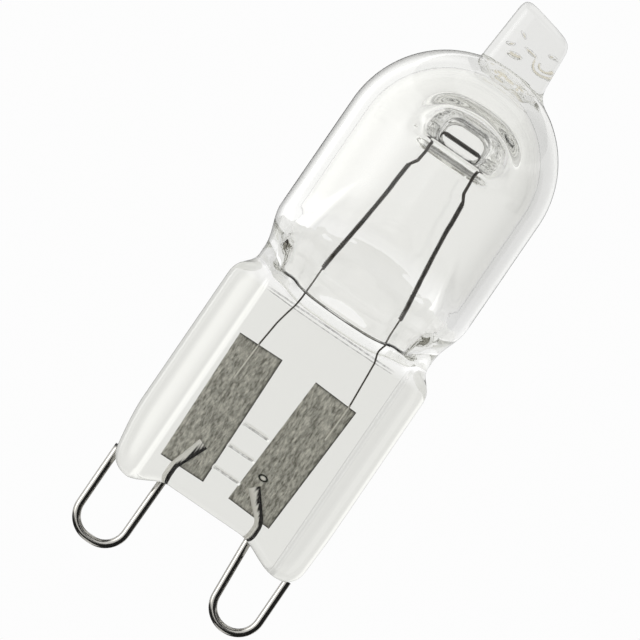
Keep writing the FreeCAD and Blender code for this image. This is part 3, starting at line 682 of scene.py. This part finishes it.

# Fused quartz: clear and flame-polished, a little greyer over the pinch, with faint draw lines along the
# tube.
# Painted shade darkens it where the eye meets it edge on and along its creases: the slit, the jaws' mark, the
# ribs, the dimples' floors and the outlines of the bubbles, which are stained a little brown.
fused_quartz = blank_material("fused quartz")
tree = fused_quartz.node_tree
place = node(tree, "ShaderNodeTexCoord").outputs["Object"]
draw_map = node(tree, "ShaderNodeMapping", {
    "Vector": place, "Scale": (1 / (0.8 * MM), 1 / (0.8 * MM), 1 / (12 * MM))})
draw_lines = node(tree, "ShaderNodeTexNoise", {"Vector": draw_map.outputs[0], "Scale": 1.0, "Detail": 2.0})
split = node(tree, "ShaderNodeSeparateXYZ", {0: place})
drawn = node(tree, "ShaderNodeMapRange", {0: split.outputs["Z"], 1: 12.3 * MM, 2: 13.3 * MM})
cast = node(tree, "ShaderNodeMix", {
    0: drawn.outputs[0], 6: linear("#eaeae6"), 7: linear("#f7f7f5")}, data_type="RGBA")
# Clearer from the pinch's top through the neck, fading out just above the swell.
clearer_neck = node(tree, "ShaderNodeMapRange", {
    0: split.outputs["Z"], 1: (swell_height + 1.8) * MM, 2: swell_height * MM})
clearer_neck = node(tree, "ShaderNodeMath", {0: clearer_neck.outputs[0], 1: drawn.outputs[0]}, operation="MULTIPLY")
cast = node(tree, "ShaderNodeMix", {
    0: clearer_neck.outputs[0], 6: cast.outputs[2], 7: linear("#fefefd")}, data_type="RGBA")
# Painted shade: dark lines along the three ribs on the front of the web, broken up by grain.
lines = None
for height in RIBS:
    away = node(tree, "ShaderNodeMath", {
        0: split.outputs["Z"], 1: height * MM, 2: 0.07 * MM}, operation="COMPARE")
    before = lines.outputs[0] if lines else 0.0
    lines = node(tree, "ShaderNodeMath", {0: away.outputs[0], 1: before}, operation="MAXIMUM")
side = node(tree, "ShaderNodeMath", {0: split.outputs["X"], 1: rib_x * MM}, operation="SUBTRACT")
across = node(tree, "ShaderNodeMath", {0: side.outputs[0]}, operation="ABSOLUTE")
short = node(tree, "ShaderNodeMapRange", {
    0: across.outputs[0], 1: (rib_half + 0.12) * MM, 2: (rib_half + 0.04) * MM})
front = node(tree, "ShaderNodeMapRange", {
    0: split.outputs["Y"], 1: (0.15 - web_face) * MM, 2: (0.05 - web_face) * MM})
grain = node(tree, "ShaderNodeTexNoise", {"Vector": place, "Scale": 1 / (0.2 * MM), "Detail": 2.0})
dots = node(tree, "ShaderNodeMapRange", {0: grain.outputs[0], 1: 0.35, 2: 0.6, 3: 0.3, 4: 1.0})
painted_rib_shade = lines
for share in (short, front, dots):
    painted_rib_shade = node(tree, "ShaderNodeMath", {0: painted_rib_shade.outputs[0], 1: share.outputs[0]}, operation="MULTIPLY")
cast = node(tree, "ShaderNodeMix", {
    0: painted_rib_shade.outputs[0], 6: cast.outputs[2], 7: linear("#7c7c78")}, data_type="RGBA")
# The bubbles' surfaces are tinted a little brown, and the same mark sets where painted shade outlines them.
bubble_stain_and_shade = node(tree, "ShaderNodeAttribute", attribute_name="bubble_stain_and_shade")
cast = node(tree, "ShaderNodeMix", {
    0: bubble_stain_and_shade.outputs["Fac"], 6: cast.outputs[2], 7: linear("#f3eee0")}, data_type="RGBA")
ripple = node(tree, "ShaderNodeBump", {
    "Height": draw_lines.outputs[0], "Strength": 0.15, "Distance": 0.02 * MM})
glass = node(tree, "ShaderNodeBsdfPrincipled", {
    "Base Color": cast.outputs[2], "Roughness": 0.0, "IOR": 1.458, "Transmission Weight": 1.0,
    "Normal": ripple.outputs[0]})
depth = node(tree, "ShaderNodeVolumeAbsorption", {"Color": linear("#c8c8bc"), "Density": 0.012 / MM})
steep = node(tree, "ShaderNodeLayerWeight", {"Blend": 0.5}).outputs["Facing"]
# Painted shade: the bulb goes dark where the eye meets it edge on.
edge = node(tree, "ShaderNodeMapRange", {0: steep, 1: 0.86, 2: 0.98, 4: 0.85})
bulb_middle, bulb_reach = 23.2, 6.2
on_bulb = node(tree, "ShaderNodeMath", {
    0: split.outputs["Z"], 1: bulb_middle * MM, 2: bulb_reach * MM}, operation="COMPARE")
edge = node(tree, "ShaderNodeMath", {0: edge.outputs[0], 1: on_bulb.outputs[0]}, operation="MULTIPLY")
# Painted shade: a dark strip on the slit's floor, between the ends of the slit.
inward = node(tree, "ShaderNodeMath", {0: split.outputs["Y"]}, operation="ABSOLUTE")
strip = node(tree, "ShaderNodeMapRange", {0: inward.outputs[0], 1: slit_face * MM, 2: 0.6 * slit_face * MM})
slit_reach = 1.5
at_slit = node(tree, "ShaderNodeMath", {
    0: split.outputs["Z"], 1: 14 * MM, 2: slit_reach * MM}, operation="COMPARE")
sideways = node(tree, "ShaderNodeMath", {0: split.outputs["X"]}, operation="ABSOLUTE")
middle = node(tree, "ShaderNodeMapRange", {
    0: sideways.outputs[0], 1: slit_half * MM, 2: (slit_half - 0.45) * MM})
seam = node(tree, "ShaderNodeMath", {0: strip.outputs[0], 1: at_slit.outputs[0]}, operation="MULTIPLY")
seam = node(tree, "ShaderNodeMath", {0: seam.outputs[0], 1: middle.outputs[0]}, operation="MULTIPLY")
# Painted shade: a thin dark line across the web at the jaws' mark.
jaw_shade_height, jaw_shade_half = 12.5, 0.05
at_foot = node(tree, "ShaderNodeMath", {
    0: split.outputs["Z"], 1: jaw_shade_height * MM, 2: jaw_shade_half * MM}, operation="COMPARE")
on_web = node(tree, "ShaderNodeMath", {0: at_foot.outputs[0], 1: middle.outputs[0]}, operation="MULTIPLY")
painted_jaw_shade = node(tree, "ShaderNodeMath", {0: on_web.outputs[0], 1: dots.outputs[0]}, operation="MULTIPLY")
painted_jaw_shade = node(tree, "ShaderNodeMath", {0: painted_jaw_shade.outputs[0], 1: 0.5}, operation="MULTIPLY")
# Painted shade: dark lines along the dimples' floor rims, broken up by grain.
painted_rim_shade = node(tree, "ShaderNodeAttribute", attribute_name="crease")
painted_rim_shade = node(tree, "ShaderNodeMath", {0: painted_rim_shade.outputs["Fac"], 1: dots.outputs[0]}, operation="MULTIPLY")
# Painted shade: dark outlines on the bubbles where the eye meets their surfaces edge on, broken up by grain.
outline = node(tree, "ShaderNodeMapRange", {0: steep, 1: 0.6, 2: 0.95, 4: 0.7})
streak = node(tree, "ShaderNodeMapRange", {0: grain.outputs[0], 1: 0.42, 2: 0.58})
outline = node(tree, "ShaderNodeMath", {0: outline.outputs[0], 1: bubble_stain_and_shade.outputs["Fac"]}, operation="MULTIPLY")
outline = node(tree, "ShaderNodeMath", {0: outline.outputs[0], 1: streak.outputs[0]}, operation="MULTIPLY")
# Painted shade: the bulb's edge-on outline, the slit's floor, the jaws' mark, the dimples' floor rims and the
# bubbles' outlines mix the glass with a black surface.
shadow = edge
for line in (seam, painted_jaw_shade, painted_rim_shade, outline):
    shadow = node(tree, "ShaderNodeMath", {0: shadow.outputs[0], 1: line.outputs[0]}, operation="MAXIMUM")
painted_shade_black = node(tree, "ShaderNodeBsdfDiffuse", {"Color": linear("#1c1b18")})
lined = node(tree, "ShaderNodeMixShader", {0: shadow.outputs[0], 1: glass.outputs[0], 2: painted_shade_black.outputs[0]})
node(tree, "ShaderNodeOutputMaterial", {"Surface": lined.outputs[0], "Volume": depth.outputs[0]})
mesh.materials.append(fused_quartz)
install(envelope, "quartz_envelope")

# Studio. The lamp hangs free before a white ground in a white tent, brighter on the left than on the right.
# Cards that only reflections see stand round it: a soft box front left, black ones front right, behind, below
# and above. A white sleeve round the stub, seen only through the glass, keeps the stub pale.
floor_height, floor_half = -0.4, 3
turned = ((-1, -1), (1, -1), (1, 1), (-1, 1))
floor_corners = [(x * floor_half, y * floor_half, floor_height) for x, y in turned]
floor_mesh = bpy.data.meshes.new("floor")
floor_mesh.from_pydata(floor_corners, [], [(0, 1, 2, 3)])
floor = bpy.data.objects.new("floor", floor_mesh)
paper = blank_material("pale paper")
tree = paper.node_tree
place = node(tree, "ShaderNodeTexCoord").outputs["Object"]
fibre = node(tree, "ShaderNodeTexNoise", {"Vector": place, "Scale": 40.0, "Detail": 3.0})
shade = node(tree, "ShaderNodeMix", {
    0: fibre.outputs[0], 6: linear("#f3f3f1"), 7: linear("#f8f8f6")}, data_type="RGBA")
matte = node(tree, "ShaderNodeBsdfPrincipled", {"Base Color": shade.outputs[2], "Roughness": 0.9})
node(tree, "ShaderNodeOutputMaterial", {"Surface": matte.outputs[0]})
floor_mesh.materials.append(paper)
bpy.context.scene.collection.objects.link(floor)


def card(name, turns, rises, strength, softness, reach=0.35):
    """A card round the lamp, between two turns from the camera's side towards +X and two rises, in degrees.
    Only reflections see it, and it fades out towards its edges."""
    steps = 30
    shares = np.linspace(0, 1, steps + 1)
    spread = [(u, v) for v in shares for u in shares]
    places = []
    for u, v in spread:
        turn, rise = (math.radians(a + (b - a) * share) for (a, b), share in ((turns, u), (rises, v)))
        out, up = reach * math.cos(rise), reach * math.sin(rise)
        places.append((out * math.sin(turn), -out * math.cos(turn), up))
    corners = [i + j * (steps + 1) for j in range(steps) for i in range(steps)]
    mesh = bpy.data.meshes.new(name)
    mesh.from_pydata(places, [], [(i, i + 1, i + steps + 2, i + steps + 1) for i in corners])
    layer = mesh.uv_layers.new(name="spread")
    for loop in mesh.loops:
        layer.uv[loop.index].vector = spread[loop.vertex_index]
    cloth = blank_material(name)
    tree = cloth.node_tree
    split = node(tree, "ShaderNodeSeparateXYZ", {
        0: node(tree, "ShaderNodeUVMap", uv_map="spread").outputs[0]})
    fades = []
    for axis in "XY":
        inset = node(tree, "ShaderNodeMath", {0: split.outputs[axis], 1: 0.5}, operation="PINGPONG")
        fades.append(node(tree, "ShaderNodeMapRange", {
            0: inset.outputs[0], 2: softness}, interpolation_type="SMOOTHSTEP"))
    fade = node(tree, "ShaderNodeMath", {
        0: fades[0].outputs[0], 1: fades[1].outputs[0]}, operation="MULTIPLY")
    gap = node(tree, "ShaderNodeBsdfTransparent")
    shine = node(tree, "ShaderNodeEmission", {"Strength": strength})
    cover = node(tree, "ShaderNodeMixShader", {0: fade.outputs[0], 1: gap.outputs[0], 2: shine.outputs[0]})
    node(tree, "ShaderNodeOutputMaterial", {"Surface": cover.outputs[0]})
    mesh.materials.append(cloth)
    sheet = bpy.data.objects.new(name, mesh)
    for ray in ("camera", "diffuse", "transmission", "volume_scatter", "shadow"):
        setattr(sheet, f"visible_{ray}", False)
    bpy.context.scene.collection.objects.link(sheet)


card("soft_box", (-88, -30), (-40, 45), 4.0, 0.5, 0.33)
card("black_card_front", (-6, 125), (-75, 34), 0.02, 0.06)
card("black_card_behind", (-192, -138), (-35, 34), 0.1, 0.06)
card("black_card_below", (-180, 180), (-72, -25), 0.02, 0.06)
card("black_card_above", (-180, 180), (36, 64), 0.1, 0.06)

sleeve_wide, sleeve_deep = 2.8, 2.2
SLEEVE_RINGS = [(30.05, 1.0), (36.0, 1.0), (36.5, 0.02)]
around = 30
places, quads = [], []
for ring, (z, share) in enumerate(SLEEVE_RINGS):
    for i in range(around):
        turn = math.tau * i / around
        x, y = stub_x + sleeve_wide * share * math.cos(turn), sleeve_deep * share * math.sin(turn)
        places.append((x * MM, y * MM, z * MM))
        if ring:
            low, high = (ring - 1) * around, ring * around
            quads.append((low + i, low + (i + 1) % around, high + (i + 1) % around, high + i))
sleeve = bpy.data.meshes.new("white sleeve")
sleeve.from_pydata(places, [], quads)
cloth = blank_material("white sleeve")
tree = cloth.node_tree
weave = node(tree, "ShaderNodeTexNoise", {
    "Vector": node(tree, "ShaderNodeTexCoord").outputs["Object"], "Scale": 200.0})
glow = node(tree, "ShaderNodeMapRange", {0: weave.outputs[0], 3: 0.86, 4: 0.92})
shine = node(tree, "ShaderNodeEmission", {"Strength": glow.outputs[0]})
node(tree, "ShaderNodeOutputMaterial", {"Surface": shine.outputs[0]})
sleeve.materials.append(cloth)
sheet = bpy.data.objects.new("white_sleeve", sleeve)
for ray in ("camera", "diffuse", "glossy", "volume_scatter", "shadow"):
    setattr(sheet, f"visible_{ray}", False)
bpy.context.scene.collection.objects.link(sheet)

tent = bpy.data.worlds.new("white tent")
tent.use_nodes = True
tree = tent.node_tree
tree.nodes.clear()
way = node(tree, "ShaderNodeTexCoord").outputs["Generated"]
split = node(tree, "ShaderNodeSeparateXYZ", {0: way})
behind = node(tree, "ShaderNodeMapRange", {
    0: split.outputs["Y"], 1: 0.72, 2: 0.95}, interpolation_type="SMOOTHSTEP")
lit = node(tree, "ShaderNodeMapRange", {0: behind.outputs[0], 3: 1.0, 4: 1.3})
left_side = node(tree, "ShaderNodeMapRange", {
    0: split.outputs["X"], 1: -0.35, 2: -0.02, 3: lit.outputs[0], 4: 0.98}, interpolation_type="SMOOTHSTEP")
right_side = node(tree, "ShaderNodeMapRange", {
    0: split.outputs["X"], 1: 0.07, 2: 0.38, 3: 1.0, 4: 0.8}, interpolation_type="SMOOTHSTEP")
sides = node(tree, "ShaderNodeMath", {
    0: left_side.outputs[0], 1: right_side.outputs[0]}, operation="MULTIPLY")
light = node(tree, "ShaderNodeLightPath").outputs
tone = node(tree, "ShaderNodeMix", {0: light["Is Camera Ray"], 2: sides.outputs[0], 3: 0.98})
ground = node(tree, "ShaderNodeBackground", {"Color": linear("#ffffff"), "Strength": tone.outputs[0]})
node(tree, "ShaderNodeOutputWorld", {"Surface": ground.outputs[0]})
bpy.context.scene.world = tent

# Light crosses many faces of the quartz before it leaves it.
for kind in ("max", "glossy", "transmission", "transparent_max"):
    setattr(bpy.context.scene.cycles, f"{kind}_bounces", 40)

# The camera faces the pinch square on, from 0.3 m, and is rolled by the lamp's lean in the picture.
lean = math.radians(34.4)
view_width = 36.36 * MM
camera_distance = 0.3
looked_at = Vector((-0.83 * MM, 0, 12.58 * MM))
lens = bpy.data.cameras.new("camera")
lens.sensor_width = 36.0
lens.lens = lens.sensor_width * camera_distance / view_width
lens.clip_start = 0.01
camera = bpy.data.objects.new("camera", lens)
right = Vector((math.cos(lean), 0, math.sin(lean)))
up = Vector((-math.sin(lean), 0, math.cos(lean)))
toward = Vector((0, -1, 0))
stance = Matrix((right, up, toward)).transposed().to_4x4()
camera.matrix_world = Matrix.Translation(looked_at + toward * camera_distance) @ stance
bpy.context.scene.collection.objects.link(camera)
bpy.context.scene.camera = camera
bpy.context.scene.view_settings.view_transform = "Standard"
